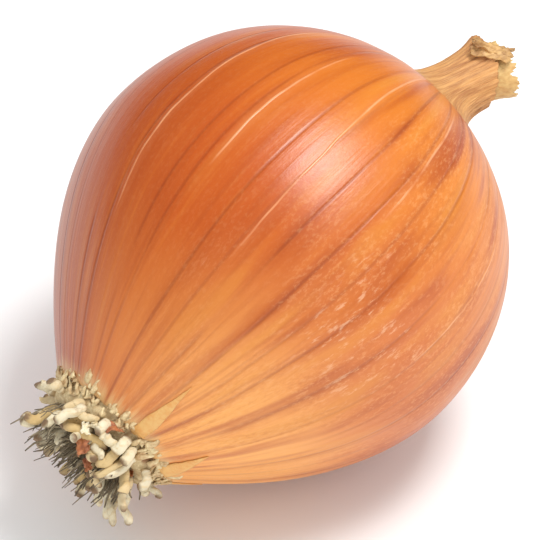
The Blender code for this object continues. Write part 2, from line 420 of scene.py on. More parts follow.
def skin_material():
    """Papery outer skin: orange to red-brown with dark veins, fine fibres, scuffs and a sheen."""
    made, shader, start = blank_material("onion_skin")
    shader.inputs["Specular IOR Level"].default_value = 0.68
    shader.inputs["Sheen Weight"].default_value = 0.03
    shader.inputs["Sheen Roughness"].default_value = 0.4
    shader.inputs["Sheen Tint"].default_value = (1.0, 0.82, 0.70, 1)
    east, north, height = start.kept("grain", "Vector").parts()
    low, high = (-height).least(0.0), height.least(0.0).most(0.97)
    girth = (1 - low**ROOT_POWER * ROOT_TAPER) * (1 - high**SHOULDER_POWER) ** (1 / SHOULDER_POWER)

    def facing(degrees):
        """1 on the meridian at this angle round the axis, and -1 opposite."""
        way = math.radians(degrees)
        return east * math.cos(way) + north * math.sin(way)

    def fibrous(pull, scale, detail=2.0, roughness=0.5):
        """Noise drawn out along the axis: the smaller the pull, the longer its streaks."""
        return start.vector(east, north, height * pull).cloud(scale, detail, roughness)

    # broad tone: saturated orange, tan towards the roots and on one side, red-brown on another
    drift = fibrous(0.6, 1.6)
    deep, tan, red = (0.49, 0.082, 0.002), (0.68, 0.235, 0.045), (0.36, 0.062, 0.010)
    tan_side = facing(-82).rising(-0.1, 0.95)
    tan_share = tan_side * 0.60 + height.rising(-0.15, -0.95) * 0.75 + (drift - 0.5) * 0.5 - 0.15
    red_share = facing(132).rising(0.55, 1.0) * height.rising(1.1, -0.9) * 0.9
    red_share += facing(20).rising(0.4, 1.0) * drift.rising(0.4, 0.7) * 0.5
    colour = tan_share.clamped().mixed(deep, tan)
    colour = red_share.clamped().mixed(colour, red)
    # painted bounce light: the lower side towards the roots is painted a paler honey, for light thrown
    # up from the table
    painted_bounce_light = facing(-75).rising(0.1, 0.9) * height.rising(-0.3, -0.9)
    colour = painted_bounce_light.mixed(colour, (0.84, 0.37, 0.085))
    # painted light: the upper side round the highlight is painted a lighter gold, for the key light
    # falling there
    painted_highlight_glow = facing(-135).rising(0.2, 1.0) * height.rising(-0.1, 0.6)
    colour = (painted_highlight_glow * 0.5).mixed(colour, (0.74, 0.25, 0.018))

    # soft streaks from the roots to the neck, stronger on the tan side
    broad = fibrous(0.22, 7.5, 2.0)
    narrow = fibrous(0.07, 21.0, 2.0)
    threads = fibrous(0.035, 75.0, 3.0, 0.6)
    strength = tan_side * 0.4 + height.rising(0.2, 0.8) * 0.4 + 0.2
    colour = (broad.rising(0.50, 0.68) * strength).mixed(colour, (0.40, 0.062, 0.003))
    colour = (broad.rising(0.48, 0.30) * strength * 0.8).mixed(colour, (0.66, 0.24, 0.026))
    colour = (narrow.rising(0.5, 0.75) * 0.35).mixed(colour, (0.38, 0.06, 0.004))
    colour = (narrow.rising(0.46, 0.28) * 0.3).mixed(colour, (0.60, 0.155, 0.012))
    colour = (threads.rising(0.5, 0.75) * 0.12).mixed(colour, (0.62, 0.20, 0.02))

    # veins: one in each of VEINS sectors, off its middle by chance, and fading in and out
    turn = north.maths("ARCTAN2", east) / (2 * math.pi)
    cell_at = turn * VEINS + (fibrous(0.4, 1.8) - 0.5) * 0.5
    cell = cell_at.maths("FLOOR").maths("FLOORED_MODULO", VEINS)
    aside = start.node("ShaderNodeTexWhiteNoise", {"noise_dimensions": "1D"}, {"W": cell})
    dark = start.node("ShaderNodeTexWhiteNoise", {"noise_dimensions": "1D"}, {"W": cell + 0.37})
    off = abs(cell_at.maths("FRACT") - 0.5 + (aside - 0.5) * 0.6) * girth
    fade = fibrous(0.5, 4.0).rising(0.25, 0.5)
    vein = off.rising(0.07, 0.01) * (dark * 0.7 + 0.3) * fade
    halo = off.rising(0.26, 0.0) * dark * fade
    colour = (halo * 0.4).mixed(colour, (0.74, 0.55, 0.45), "MULTIPLY")
    colour = (vein * (0.62 - tan_side * 0.25)).mixed(colour, (0.50, 0.34, 0.30), "MULTIPLY")

    # a fine mottle, dry and pale on the tan side, and a few pale raised lines
    speckle = start.place().cloud(1500.0, 2.0, 0.6)
    fleck = start.vector(east, north, height * 0.6).cloud(60.0, 3.0, 0.7)
    patch = fibrous(0.6, 4.2, 3.0, 0.6)
    dry_skin = tan_side * patch.rising(0.35, 0.6)
    colour = (speckle.rising(0.5, 0.75) * 0.04).mixed(colour, (0.75, 0.33, 0.06))
    colour = (fleck.rising(0.5, 0.64) * (dry_skin * 0.22 + 0.04)).mixed(colour, (0.80, 0.42, 0.18))
    colour = (fleck.rising(0.48, 0.36) * (dry_skin * 0.25)).mixed(colour, (0.45, 0.10, 0.012))
    wobble = (fibrous(0.8, 3.0) - 0.5) * 0.05
    raised = 0.0
    for degrees, lean, lowest, highest in RAISED_LINES:
        aside = facing(degrees + 90) + height * lean + wobble
        span = height.rising(lowest, lowest + 0.3) * height.rising(highest, highest - 0.2)
        near = abs(aside * girth)
        line = near.rising(0.0075, 0.001) + near.rising(0.05, 0.0) * 0.14
        raised += line * span * facing(degrees).rising(0.0, 0.3)
    raised *= fibrous(0.8, 7.0).rising(0.25, 0.6)
    colour = (raised * 0.55).clamped().mixed(colour, (0.86, 0.42, 0.20))

    # pale scuffs where the skin has rubbed
    scratch = fibrous(0.3, 38.0, 4.0, 0.7)
    rubbed = facing(-113).rising(0.93, 0.99) * height.rising(0.05, -0.1) * height.rising(-0.6, -0.35)
    scuff = scratch.rising(0.54, 0.66) * (patch.rising(0.62, 0.70) * 0.5 + rubbed).clamped()
    colour = (scuff * 0.36).mixed(colour, (0.88, 0.58, 0.36))

    # cream at the basal plate and straw on the dry neck
    ragged = height + (narrow - 0.5) * 0.10 + (scratch - 0.5) * 0.10
    colour = (ragged.rising(-1.03, -1.12) * 0.75).mixed(colour, (0.70, 0.50, 0.23))
    dry = height + (narrow - 0.5) * 0.12
    husk = fibrous(0.6, 7.0, 5.0, 0.7)
    straw = husk.rising(0.35, 0.65).mixed((0.66, 0.33, 0.105), (0.40, 0.16, 0.045))
    straw = (scratch.rising(0.5, 0.65) * 0.4).mixed(straw, (0.76, 0.46, 0.19))
    colour = dry.rising(0.93, 1.0).mixed(colour, straw)
    feed(shader, "Base Color", colour)

    matt = height.rising(0.9, 1.05)
    feed(shader, "Roughness", 0.31 + threads * 0.08 + scuff * 0.25 + dry_skin * 0.12 + matt * 0.3)
    relief = threads * 0.2 + narrow * 0.5 - vein * 0.4 + speckle * 0.12 + raised * 0.5 + fleck * 0.15
    relief += husk * matt * 1.5
    roughen(shader, relief, 0.00035, 0.4)
    return made


skin = grown(
    "outer_skin",
    skin_tree(),
    {
        "Radius": BULB_RADIUS,
        "Shoulder Top": SHOULDER_TOP,
        "Neck Waist": NECK_WAIST,
        "Neck Rise": NECK_RISE,
        "Neck Bend": NECK_BEND,
        "Plate Aside": PLATE_ASIDE,
        "Rib Height": 0.007,
        "Dent Depth": 0.02,
        "Wrinkle Depth": 0.014,
        "Rim Tear": 0.07,
        "Material": skin_material(),
    },
)
outwards(skin)
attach(skin, "root")
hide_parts("bulb", "dry_neck")


# ---------------------------------------------------------------------------------------------
# Torn skin near the roots. Where the outermost dry skin has split away at the root end, thin pale
# slivers of it still cling to the bulb, each with a narrow tip and a foot under the collar.
# ---------------------------------------------------------------------------------------------

ROUND_BULB = BVHTree.FromObject(skin, bpy.context.evaluated_depsgraph_get())
# each sliver: where its tip is (degrees, height), how far round its foot reaches, foot's height
SLIVERS = (
    (-133, -0.845, -135, -121, -1.10),
    (-94, -0.944, -90, -66, -1.10),
    (-42, -0.96, -44, -30, -1.10),
    (22, -0.88, 18, 34, -1.10),
    (70, -0.97, 66, 78, -1.10),
)
SLIVER_ROWS = 19
SLIVER_COLUMNS = 9
SLIVER_LIFT = 0.00012  # metres off the skin at its edges
SLIVER_CROWN = 0.00035  # how much further its middle arches
SHEET_THICKNESS = 0.00014


def on_skin(degrees, height, lift):
    """The place on the skin at this angle and height, lifted off it, in the world."""
    way = math.radians(degrees)
    outward = BULB_PLACE.to_3x3() @ Vector((math.cos(way), math.sin(way), 0))
    astray = PLATE_ASIDE * (min(0.0, height) / ROOT_END) ** 2
    centre = Vector((astray * math.cos(ASIDE_WAY), astray * math.sin(ASIDE_WAY), height))
    start = BULB_PLACE @ (centre * BULB_RADIUS) + outward * BULB_RADIUS * 2
    place, normal, _, _ = ROUND_BULB.ray_cast(start, -outward)
    return place + normal * lift


def walled(piece, thickness):
    """Give a thin piece its thickness, half on each side."""
    wall = piece.modifiers.new("wall", "SOLIDIFY")
    wall.thickness = thickness
    wall.offset = 0


def sheet(name, rows, thickness, finish):
    """A thin closed sheet through rows of points, and its along attribute from 0 to 1."""
    columns = len(rows[0])
    mesh = bpy.data.meshes.new(name)
    faces = [
        (corner, corner + 1, corner + 1 + columns, corner + columns)
        for row in range(len(rows) - 1)
        for corner in range(row * columns, (row + 1) * columns - 1)
    ]
    mesh.from_pydata([place for row in rows for place in row], [], faces)
    layer = mesh.attributes.new("along", "FLOAT", "POINT")
    shares = [row / (len(rows) - 1) for row in range(len(rows)) for _ in range(columns)]
    layer.data.foreach_set("value", shares)
    mesh.materials.append(finish)
    mesh.shade_smooth()
    piece = bpy.data.objects.new(name, mesh)
    bpy.context.scene.collection.objects.link(piece)
    walled(piece, thickness)
    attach(piece, "root")
    return piece


def drawn_out(place, pull):
    """A place turned about Y and drawn out in X: the smaller the pull, the longer the streaks."""
    turned = place.node("ShaderNodeMapping", {}, {"Vector": place, "Rotation": (0, -LEAN, 0)})
    return turned.stretched(pull, 1.0, 1.0)


def parchment(name, pale, dark):
    """Dry skin torn thin: blotched, paler as its along value rises, with drawn-out fibres."""
    made, shader, start = blank_material(name)
    fibres = drawn_out(start.place(), 0.12).cloud(1800.0, 3.0, 0.6)
    blotch = start.place().cloud(420.0, 2.0, 0.6)
    share = fibres.rising(0.3, 0.7) * 0.6 + blotch.rising(0.35, 0.7) * 0.5 - start.kept("along") * 0.25
    feed(shader, "Base Color", share.clamped().mixed(pale, dark))
    feed(shader, "Roughness", 0.45 + fibres * 0.2)
    roughen(shader, fibres + blotch * 0.6, 0.0002, 0.6)
    return made


sliver_finish = parchment("pale_sliver", (0.72, 0.42, 0.14), (0.68, 0.30, 0.075))
for number, (tip, tip_height, left, right, foot_height) in enumerate(SLIVERS, 1):
    rows = []
    for step in range(SLIVER_ROWS):
        share = step / (SLIVER_ROWS - 1)
        spread = share**1.25
        waver = 1.6 * noise.noise((number * 7.1, share * 5, 0))
        low_edge = tip + (left - tip) * spread - waver * share
        high_edge = tip + (right - tip) * spread + waver * share
        height = tip_height + (foot_height - tip_height) * share
        row = []
        for column in range(SLIVER_COLUMNS):
            degrees = low_edge + (high_edge - low_edge) * column / (SLIVER_COLUMNS - 1)
            arch = math.sin(math.pi * column / (SLIVER_COLUMNS - 1)) * share * SLIVER_CROWN
            row.append(on_skin(degrees, height, arch + SLIVER_LIFT))
        rows.append(row)
    sheet(f"sliver_{number:02d}", rows, SHEET_THICKNESS, sliver_finish)


# ---------------------------------------------------------------------------------------------
# The neck's inner sheaths. Under the outer sheath the dried leaf bases stand a little higher,
# paler and torn into a fringe, and the outer one is folded over the mouth on one side.
# ---------------------------------------------------------------------------------------------

# each sheath: radius at its foot and rim, rim's height, tear, flare, and its finish
SHEATHS = (
    ("inner_sheath", 0.112, 0.128, 1.345, 0.085, 0.020, "light_straw"),
    ("second_sheath", 0.085, 0.100, 1.330, 0.080, 0.035, "straw"),
    ("core_sheath", 0.050, 0.062, 1.315, 0.090, 0.010, "brown_straw"),
)
STRAWS = {
    "light_straw": ((0.68, 0.45, 0.17), (0.50, 0.25, 0.075)),
    "straw": ((0.62, 0.36, 0.12), (0.36, 0.16, 0.05)),
    "brown_straw": ((0.34, 0.17, 0.06), (0.14, 0.06, 0.02)),
}
SHEATH_FOOT = 1.06
SHEATH_SLANT = 0.045  # how much lower a rim stands on the side the neck leans to
SHEATH_FRONT = 0.02  # how much higher it stands at the front
SHEATH_PLEAT = 0.010
SHEATH_ROWS = 44
SHEATH_SIDES = 132
FOLD_THICKNESS = 0.00022


def sheath_tree():
    """A pleated tube that leans with the neck, its rim torn into teeth."""
    inputs = {
        "Radius": "Float",
        "Foot Radius": "Float",
        "Rim Radius": "Float",
        "Foot Height": "Float",
        "Rim Height": "Float",
        "Tear": "Float",
        "Flare": "Float",
        "Pleat Depth": "Float",
        "Seed": "Float",
        "Material": "Material",
    }
    tree, given = geometry_tree("sheath", inputs)
    any_value = Value(tree)
    sockets = {"Size X": 1.0, "Size Y": 1.0, "Vertices X": SHEATH_SIDES + 1, "Vertices Y": SHEATH_ROWS}
    grid = any_value.node("GeometryNodeMeshGrid", {}, sockets)
    x, y, _ = any_value.node("GeometryNodeInputPosition").parts()
    angle, row = (x + 0.5) * (2 * math.pi), y + 0.5
    cosine, sine = angle.cos(), angle.sin()
    slope = (angle - ASIDE_WAY).cos()
    teeth = any_value.vector(cosine, sine, given["Seed"]).cloud(5.0, 4.0, 0.8) - 0.5
    rim = given["Rim Height"] + teeth * given["Tear"] * 2 - slope * SHEATH_SLANT
    rim += (angle - FRONT_WAY).cos() * SHEATH_FRONT
    height = given["Foot Height"] + (rim - given["Foot Height"]) * row
    pleat = any_value.vector(cosine, sine, height * 0.6 + given["Seed"]).cloud(4.5, 4.0, 0.7)
    radius = given["Foot Radius"] + (given["Rim Radius"] - given["Foot Radius"]) * row**2
    radius += (abs(pleat - 0.5) * -4 + 0.5) * given["Pleat Depth"] + (teeth * row**3) * 0.06
    radius += given["Flare"] * row**4 * slope.rising(-0.4, 1.0)
    above = (height - SHOULDER_TOP).least(0.0)
    thin = 1 - (above / NECK_RISE).most(1.0) * NECK_FLATTEN
    along = radius * slope + (above / NECK_REACH) ** NECK_CURVE * NECK_BEND
    across = radius * (angle - ASIDE_WAY).sin() * thin
    east = along * math.cos(ASIDE_WAY) - across * math.sin(ASIDE_WAY)
    north = along * math.sin(ASIDE_WAY) + across * math.cos(ASIDE_WAY)
    size = given["Radius"]
    position = any_value.vector(east * size, north * size, height * size)
    bent = grid.keeping("along", row).shaped(Position=position)
    end_tree(bent.laid().welded(), given["Material"])
    return tree


def at(side, depth, height):
    """A place in the world: how far to the lower side, how far forward of the axis, how high."""
    east = side * math.cos(ASIDE_WAY) + depth * math.cos(FRONT_WAY)
    north = side * math.sin(ASIDE_WAY) + depth * math.sin(FRONT_WAY)
    return BULB_PLACE @ (Vector((east, north, height)) * BULB_RADIUS)


sheaths = sheath_tree()
for number, (name, foot, rim, rim_height, tear, flare, straw) in enumerate(SHEATHS):
    values = {
        "Radius": BULB_RADIUS,
        "Foot Radius": foot,
        "Rim Radius": rim,
        "Foot Height": SHEATH_FOOT,
        "Rim Height": rim_height,
        "Tear": tear,
        "Flare": flare,
        "Pleat Depth": SHEATH_PLEAT,
        "Seed": 2.3 + number * 4.7,
        "Material": parchment(straw, *STRAWS[straw]),
    }
    sheath = grown(name, sheaths, values)
    walled(sheath, FOLD_THICKNESS)
    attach(sheath, "root")


def crumpled(name, centre, length, width, curl, crush, seed, finish, thickness=SHEET_THICKNESS):
    """A crumpled ragged sheet about a centre; length and width are vectors, curl bends its ends."""
    off = length.cross(width).normalized()
    rows = []
    for step in range(15):
        along = step / 14 - 0.5
        row = []
        for column in range(13):
            across = column / 12 - 0.5
            ragged = 1 + 0.35 * noise.noise((along * 5, seed, 0))
            ragged += 0.3 * noise.noise((along * 17, seed, 4))
            torn = 1 + 0.25 * noise.noise((across * 7, seed, 9))
            torn += 0.25 * noise.noise((across * 19, seed, 2))
            crease = noise.noise((along * 3.1 + seed, across * 3.1, 0.5))
            fine = noise.noise((along * 9 + seed, across * 9, 3.5)) * 0.4
            place = centre + length * along * torn + width * across * ragged
            row.append(place + off * (curl * (along**2 * 4 - 0.4) + crush * (crease + fine)))
        rows.append(row)
    return sheet(name, rows, thickness, finish)


def between(first, second):
    """The vector from one place to another, each given by its side, depth and height."""
    return at(*second) - at(*first)


fold_finish = parchment("frayed_brown", (0.66, 0.40, 0.15), (0.30, 0.14, 0.045))
# each fold of the cap: its two ends, its other way across, curl and crush in metres
CAP_FOLDS = (
    ((-0.055, 0.128, 1.275), (0.100, 0.135, 1.372), (0.035, 0.010, -0.060), 0.0002, 0.0007),
    ((-0.055, 0.110, 1.300), (0.095, 0.115, 1.392), (0.020, 0.060, -0.045), 0.0004, 0.0009),
    ((-0.050, -0.010, 1.305), (0.105, -0.010, 1.390), (0.010, 0.120, 0.000), 0.0008, 0.0011),
)
for number, (one_end, other_end, across, curl, crush) in enumerate(CAP_FOLDS, 1):
    middle = (at(*one_end) + at(*other_end)) / 2
    width = between((0, 0, 0), across)
    crumpled(
        f"cap_fold_{number}", middle, between(one_end, other_end), width, -curl, crush,
        number * 3.3, fold_finish, FOLD_THICKNESS,
    )


# ---------------------------------------------------------------------------------------------
# The basal plate: a corky disc that the skins and the roots grow from. It is rough and fibrous,
# cream at its side where torn skin collars it, and sunk and nearly black in the middle.
# ---------------------------------------------------------------------------------------------

plate_low, plate_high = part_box("basal_plate")
PLATE_RADIUS = 0.285
PLATE_SIDES = 96
PLATE_STEPS = 3  # rings from one point of the outline to the next
# the plate's outline from the middle of its underside round to its top: radius and height
PLATE_OUTLINE = (
    (0.0, -1.145),
    (0.06, -1.148),
    (0.11, -1.160),
    (0.16, -1.178),
    (0.205, -1.188),
    (0.245, -1.186),
    (0.272, -1.172),
    (0.284, -1.150),
    (0.287, -1.125),
    (0.288, -1.100),
    (0.292, -1.080),
    (0.20, -1.070),
    (0.0, -1.070),
)


def plate_material():
    """Cork: cream to brown in blotches, and nearly black towards its sunk middle."""
    made, shader, start = blank_material("basal_plate")
    dirt = start.place().cloud(600.0, 4.0, 0.7)
    blotch = start.place().cloud(220.0, 2.0, 0.5)
    middle = start.kept("middle")
    colour = dirt.rising(0.35, 0.65).mixed((0.70, 0.57, 0.33), (0.48, 0.34, 0.17))
    colour = blotch.rising(0.58, 0.72).mixed(colour, (0.30, 0.15, 0.07))
    colour = (middle + (dirt - 0.5) * 0.5).rising(0.35, 0.8).mixed(colour, (0.055, 0.038, 0.022))
    feed(shader, "Base Color", colour)
    feed(shader, "Roughness", 0.7 + dirt * 0.25)
    roughen(shader, dirt + blotch, 0.0006, 0.8)
    return made


def make_plate():
    """The plate's outline turned round the axis, with lumps pushed out of it."""
    astray = Vector((PLATE_ASIDE * math.cos(ASIDE_WAY), PLATE_ASIDE * math.sin(ASIDE_WAY), 0))
    rings = []
    for (inner, low), (outer, high) in zip(PLATE_OUTLINE, PLATE_OUTLINE[1:]):
        rings += [
            (inner + (outer - inner) * step / PLATE_STEPS, low + (high - low) * step / PLATE_STEPS)
            for step in range(PLATE_STEPS)
        ]
    rings.append(PLATE_OUTLINE[-1])
    bm = bmesh.new()
    poles = [bm.verts.new((0, 0, rings[0][1])), bm.verts.new((0, 0, rings[-1][1]))]
    loops = []
    for radius, height in rings[1:-1]:
        loop = []
        for side in range(PLATE_SIDES):
            angle = 2 * math.pi * side / PLATE_SIDES
            ring = Vector((math.cos(angle), math.sin(angle), 0))
            lump = noise.noise(ring * radius * 26 + Vector((0, 0, height * 26))) * 0.011
            lump += noise.noise(ring * radius * 60 + Vector((4, 0, height * 60))) * 0.005
            loop.append(bm.verts.new(ring * (radius + lump) + Vector((0, 0, height + lump * 0.7))))
        loops.append(loop)
    for one, two in zip(loops, loops[1:]):
        for side in range(PLATE_SIDES):
            after = (side + 1) % PLATE_SIDES
            bm.faces.new((one[side], one[after], two[after], two[side]))
    for pole, loop in ((poles[0], loops[0]), (poles[1], loops[-1])):
        for side in range(PLATE_SIDES):
            bm.faces.new((pole, loop[side], loop[(side + 1) % PLATE_SIDES]))
    bmesh.ops.recalc_face_normals(bm, faces=bm.faces[:])
    mesh = bpy.data.meshes.new("corky_plate")
    bm.to_mesh(mesh)
    bm.free()
    layer = mesh.attributes.new("middle", "FLOAT", "POINT")
    reach = [1 - vertex.co.xy.length / PLATE_RADIUS for vertex in mesh.vertices]
    layer.data.foreach_set("value", reach)
    mesh.transform(BULB_PLACE @ Matrix.Scale(BULB_RADIUS, 4) @ Matrix.Translation(astray))
    mesh.shade_smooth()
    mesh.materials.append(plate_material())
    piece = bpy.data.objects.new("corky_plate", mesh)
    bpy.context.scene.collection.objects.link(piece)
    return piece


plate = make_plate()
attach(plate, "root")
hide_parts("basal_plate")


# ---------------------------------------------------------------------------------------------
# The collar: shreds of the innermost dry skin round the plate, cream and fibrous, each small and
# curled, that grow from the plate's edge. Geometry Nodes set them round it by chance.
# ---------------------------------------------------------------------------------------------

SHREDS = 230
SHRED_LENGTH = 0.070  # the longest of them
SHRED_SPREAD = 0.055  # how much wider their ring is at its top than at its foot
GOLDEN_TURN = 2.39996  # radians from each shred to the next, so that none line up


def shred_tree():
    """Curled shreds set round the plate's edge, each turned, tipped and sized by chance."""
    inputs = {
        "Radius": "Float",
        "Count": "Int",
        "Ring Radius": "Float",
        "Low": "Float",
        "High": "Float",
        "Length": "Float",
        "Seed": "Int",
        "Material": "Material",
    }
    tree, given = geometry_tree("collar", inputs)
    any_value = Value(tree)
    sockets = {"Size X": 1.0, "Size Y": 1.0, "Vertices X": 4, "Vertices Y": 6}
    grid = any_value.node("GeometryNodeMeshGrid", {}, sockets)
    x, y, _ = any_value.node("GeometryNodeInputPosition").parts()
    along = y + 0.5
    width = (1 - along**2) * 0.8 + 0.12
    leaf = any_value.vector((0.25 - x * x) * 0.5 - along * along * 0.35, x * width * 0.5, along)
    shred = grid.shaped(Position=leaf).keeping("along", along)

    def by_chance(low, high, salt):
        sockets = {2: low, 3: high, 8: given["Seed"] + salt}
        return any_value.node("FunctionNodeRandomValue", {"data_type": "FLOAT"}, sockets, out=1)

    points = any_value.node("GeometryNodePoints", {}, {"Count": given["Count"]})
    turn = any_value.node("GeometryNodeInputIndex") * GOLDEN_TURN + by_chance(-0.3, 0.3, 1)
    share = by_chance(0.0, 1.0, 2)
    height = given["Low"] + (given["High"] - given["Low"]) * share
    reach = given["Ring Radius"] + share * SHRED_SPREAD - 0.004
    east = turn.cos() * reach + PLATE_ASIDE * math.cos(ASIDE_WAY)
    north = turn.sin() * reach + PLATE_ASIDE * math.sin(ASIDE_WAY)
    stands = points.shaped(Position=any_value.vector(east, north, height))
    rotation = any_value.vector(by_chance(-0.5, 0.5, 4), by_chance(0.15, 1.1, 3), turn)
    size = by_chance(0.35, 1.0, 5) * given["Length"]
    sockets = {"Points": stands, "Instance": shred, "Rotation": rotation, "Scale": size}
    shreds = any_value.node("GeometryNodeInstanceOnPoints", {}, sockets)
    real = any_value.node("GeometryNodeRealizeInstances", {}, {0: shreds})
    where = any_value.node("GeometryNodeInputPosition")
    rough = where.node("ShaderNodeTexNoise", {}, {"Vector": where, "Scale": 22.0, "Detail": 2.0}, 1)
    centred = {0: rough, 1: (0.5, 0.5, 0.5)}
    shaken = any_value.node("ShaderNodeVectorMath", {"operation": "SUBTRACT"}, centred)
    bent = real.shaped(Offset=shaken.stretched(0.05, 0.05, 0.05))
    radius = given["Radius"]
    end_tree(bent.laid(Scale=any_value.vector(radius, radius, radius)), given["Material"])
    return tree


collar_values = {
    "Radius": BULB_RADIUS,
    "Count": SHREDS,
    "Ring Radius": PLATE_RADIUS,
    "Low": -1.155,
    "High": -1.075,
    "Length": SHRED_LENGTH,
    "Seed": 11,
    "Material": parchment("cream_shreds", (0.76, 0.62, 0.35), (0.42, 0.23, 0.09)),
}
collar = grown("collar_of_shreds", shred_tree(), collar_values)
walled(collar, FOLD_THICKNESS)
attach(collar, "root")


# ---------------------------------------------------------------------------------------------
# The roots. Thick dried roots, cream with blunt brown ends, stand in rings under the plate; a
# few yellowed ones cross in front, and fine dark rootlets fill the hollow between the rings.
# ---------------------------------------------------------------------------------------------

ROOT_THICKNESS = 0.00092  # metres from a thick root's middle line to its skin
ROOT_POINTS = 20  # points along a thick root
SIDE_ROOTS = 12  # the short roots on the plate's side, which come first
ROOT_NAMES = sorted(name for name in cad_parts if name.startswith("root_"))


def strand_tree():
    """Tubes along bare polylines, as thick as their attribute says, flattened and knobbled."""
    inputs = {
        "Sides": "Int",
        "Flatness": "Float",
        "Knobbles": "Float",
        "Knobble Scale": "Float",
        "Material": "Material",
    }
    tree, given = geometry_tree("strands", inputs)
    any_value = Value(tree)
    curve = any_value.node("GeometryNodeMeshToCurve", {}, {"Mesh": given["Geometry"]})
    settings = {"data_type": "FLOAT"}
    thick = any_value.node("GeometryNodeInputNamedAttribute", settings, {"Name": "thickness"})
    twist = any_value.node("GeometryNodeInputNamedAttribute", settings, {"Name": "twist"})
    turned = any_value.node("GeometryNodeSetCurveTilt", {}, {"Curve": curve, "Tilt": twist})
    sockets = {"Resolution": given["Sides"], "Radius": 1.0}
    ring = any_value.node("GeometryNodeCurvePrimitiveCircle", {"mode": "RADIUS"}, sockets)
    scale = any_value.vector(1.0, given["Flatness"], 1.0)
    flat_ring = any_value.node("GeometryNodeTransform", {}, {"Geometry": ring, "Scale": scale})
    sockets = {"Curve": turned, "Profile Curve": flat_ring, "Scale": thick, "Fill Caps": True}
    tube = any_value.node("GeometryNodeCurveToMesh", {}, sockets)
    where = any_value.node("GeometryNodeInputPosition")
    bump = (where.cloud(given["Knobble Scale"], 3.0) - 0.5) * given["Knobbles"]
    normal = any_value.node("GeometryNodeInputNormal")
    push = any_value.node("ShaderNodeVectorMath", {"operation": "SCALE"}, {0: normal, "Scale": bump})
    end_tree(tube.shaped(Offset=push), given["Material"])
    return tree


def strand_mesh(name, strands):
    """Bare polylines, one for each (points, thickness, shade, twist), rounded off at both ends."""
    mesh = bpy.data.meshes.new(name)
    places, edges = [], []
    kept = {"thickness": [], "along": [], "shade": [], "twist": []}
    for points, thickness, shade, twist in strands:
        first, last = len(places), len(points) - 1
        for step, point in enumerate(points):
            share = step / last
            nose = min(1.0, (share + 0.012) / 0.07, (1.012 - share) / 0.07)
            places.append(point)
            kept["thickness"].append(thickness * math.sqrt(1 - (1 - nose) ** 2))
            kept["along"].append(share)
            kept["shade"].append(shade)
            kept["twist"].append(twist * (0.4 + share))
        edges += [(first + step, first + step + 1) for step in range(last)]
    mesh.from_pydata(places, edges, [])
    for label, values in kept.items():
        layer = mesh.attributes.new(label, "FLOAT", "POINT")
        layer.data.foreach_set("value", values)
    return mesh


def root_material(name, cream, ochre, tip):
    """Dried root: pale and wrinkled, ochre or grey by its shade, brown at the tip."""
    made, shader, start = blank_material(name)
    along, shade = start.kept("along"), start.kept("shade")
    wrinkle = drawn_out(start.place(), 0.25).cloud(1500.0, 3.0, 0.6)
    blotch = start.place().cloud(500.0, 3.0, 0.6)
    colour = shade.rising(0.45, 1.0).mixed(cream, ochre)
    colour = (shade.rising(0.3, 0.0) * 0.6).mixed(colour, (0.36, 0.30, 0.20))
    colour = (wrinkle.rising(0.48, 0.7) * 0.5).mixed(colour, ochre)
    colour = (blotch.rising(0.56, 0.72) * 0.6).mixed(colour, (0.33, 0.21, 0.10))
    colour = (along + (blotch - 0.5) * 0.25).rising(0.86, 1.0).mixed(colour, tip)
    colour = along.rising(0.16, 0.0).mixed(colour, (0.40, 0.27, 0.13))
    feed(shader, "Base Color", colour)
    feed(shader, "Roughness", 0.5 + wrinkle * 0.3)
    roughen(shader, wrinkle + blotch * 0.5, 0.0003, 0.7)
    return made


def curved(start, middle, end, steps):
    """Points on the curve that leaves start, is drawn towards middle and ends at end."""
    return [
        start * (1 - share) ** 2 + middle * 2 * share * (1 - share) + end * share**2
        for share in (step / (steps - 1) for step in range(steps))
    ]


def wavy(points, amount, seed):
    """The same points, swaying more towards the end."""
    swayed = []
    for step, point in enumerate(points):
        share = step / (len(points) - 1)
        sway = noise.noise_vector((share * 2.6, seed * 3.7, 0)) - noise.noise_vector((0, seed * 3.7, 0))
        swayed.append(point + sway * amount * min(1.0, share * 2))
    return swayed


def node_path(name, steps):
    """The way a packed root runs, from the plate to its tip, read from its own solid."""
    corners = sorted(
        (vertex.co.copy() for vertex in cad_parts[name].data.vertices),
        key=lambda corner: (corner - plate_middle).length,
    )
    few = max(3, len(corners) // 12)
    base = sum(corners[:few], Vector()) / few
    tip = sum(corners[-few:], Vector()) / few
    middle = sum(corners, Vector()) / len(corners)
    return curved(base, middle * 2 - (base + tip) / 2, tip, steps)


ROOTWARD = BULB_PLACE.to_3x3() @ Vector((0, 0, -1))
chance = random.Random(23)
noise.seed_set(23)  # without it the clock seeds the sway in wavy
plate_middle = (plate_low + plate_high) / 2
strands = []
for number, name in enumerate(ROOT_NAMES):
    # those in front are cut shorter, and the side ones there bend down past the plate
    points = node_path(name, ROOT_POINTS)
    base = BULB_PLACE.inverted() @ points[0]
    forward = (base.x * math.cos(FRONT_WAY) + base.y * math.sin(FRONT_WAY)) / base.xy.length
    keep = 0.6 if forward > 0.75 and number >= SIDE_ROOTS else chance.uniform(0.80, 0.96)
    tip = points[int((ROOT_POINTS - 1) * keep)]
    if forward > 0.55 and number < SIDE_ROOTS:
        tip = points[0].lerp(tip, 0.45) + ROOTWARD * 0.0026
    points = curved(points[0], points[int(ROOT_POINTS / 2 * keep)], tip, ROOT_POINTS)
    points = [points[0] + (points[0] - points[1]).normalized() * 0.0008] + points
    amount = 0.0006 if number < SIDE_ROOTS else 0.0015
    thickness = ROOT_THICKNESS * chance.uniform(0.82, 1.12)
    shade = chance.random()
    strands.append((wavy(points, amount, number + 0.5), thickness, shade, chance.uniform(-1.5, 1.5)))
strands_of_roots = strand_tree()
root_values = {
    "Sides": 14,
    "Flatness": 0.72,
    "Knobbles": 0.0003,
    "Knobble Scale": 420.0,
    "Material": root_material("dried_root", (0.72, 0.64, 0.45), (0.60, 0.42, 0.18), (0.20, 0.12, 0.06)),
}
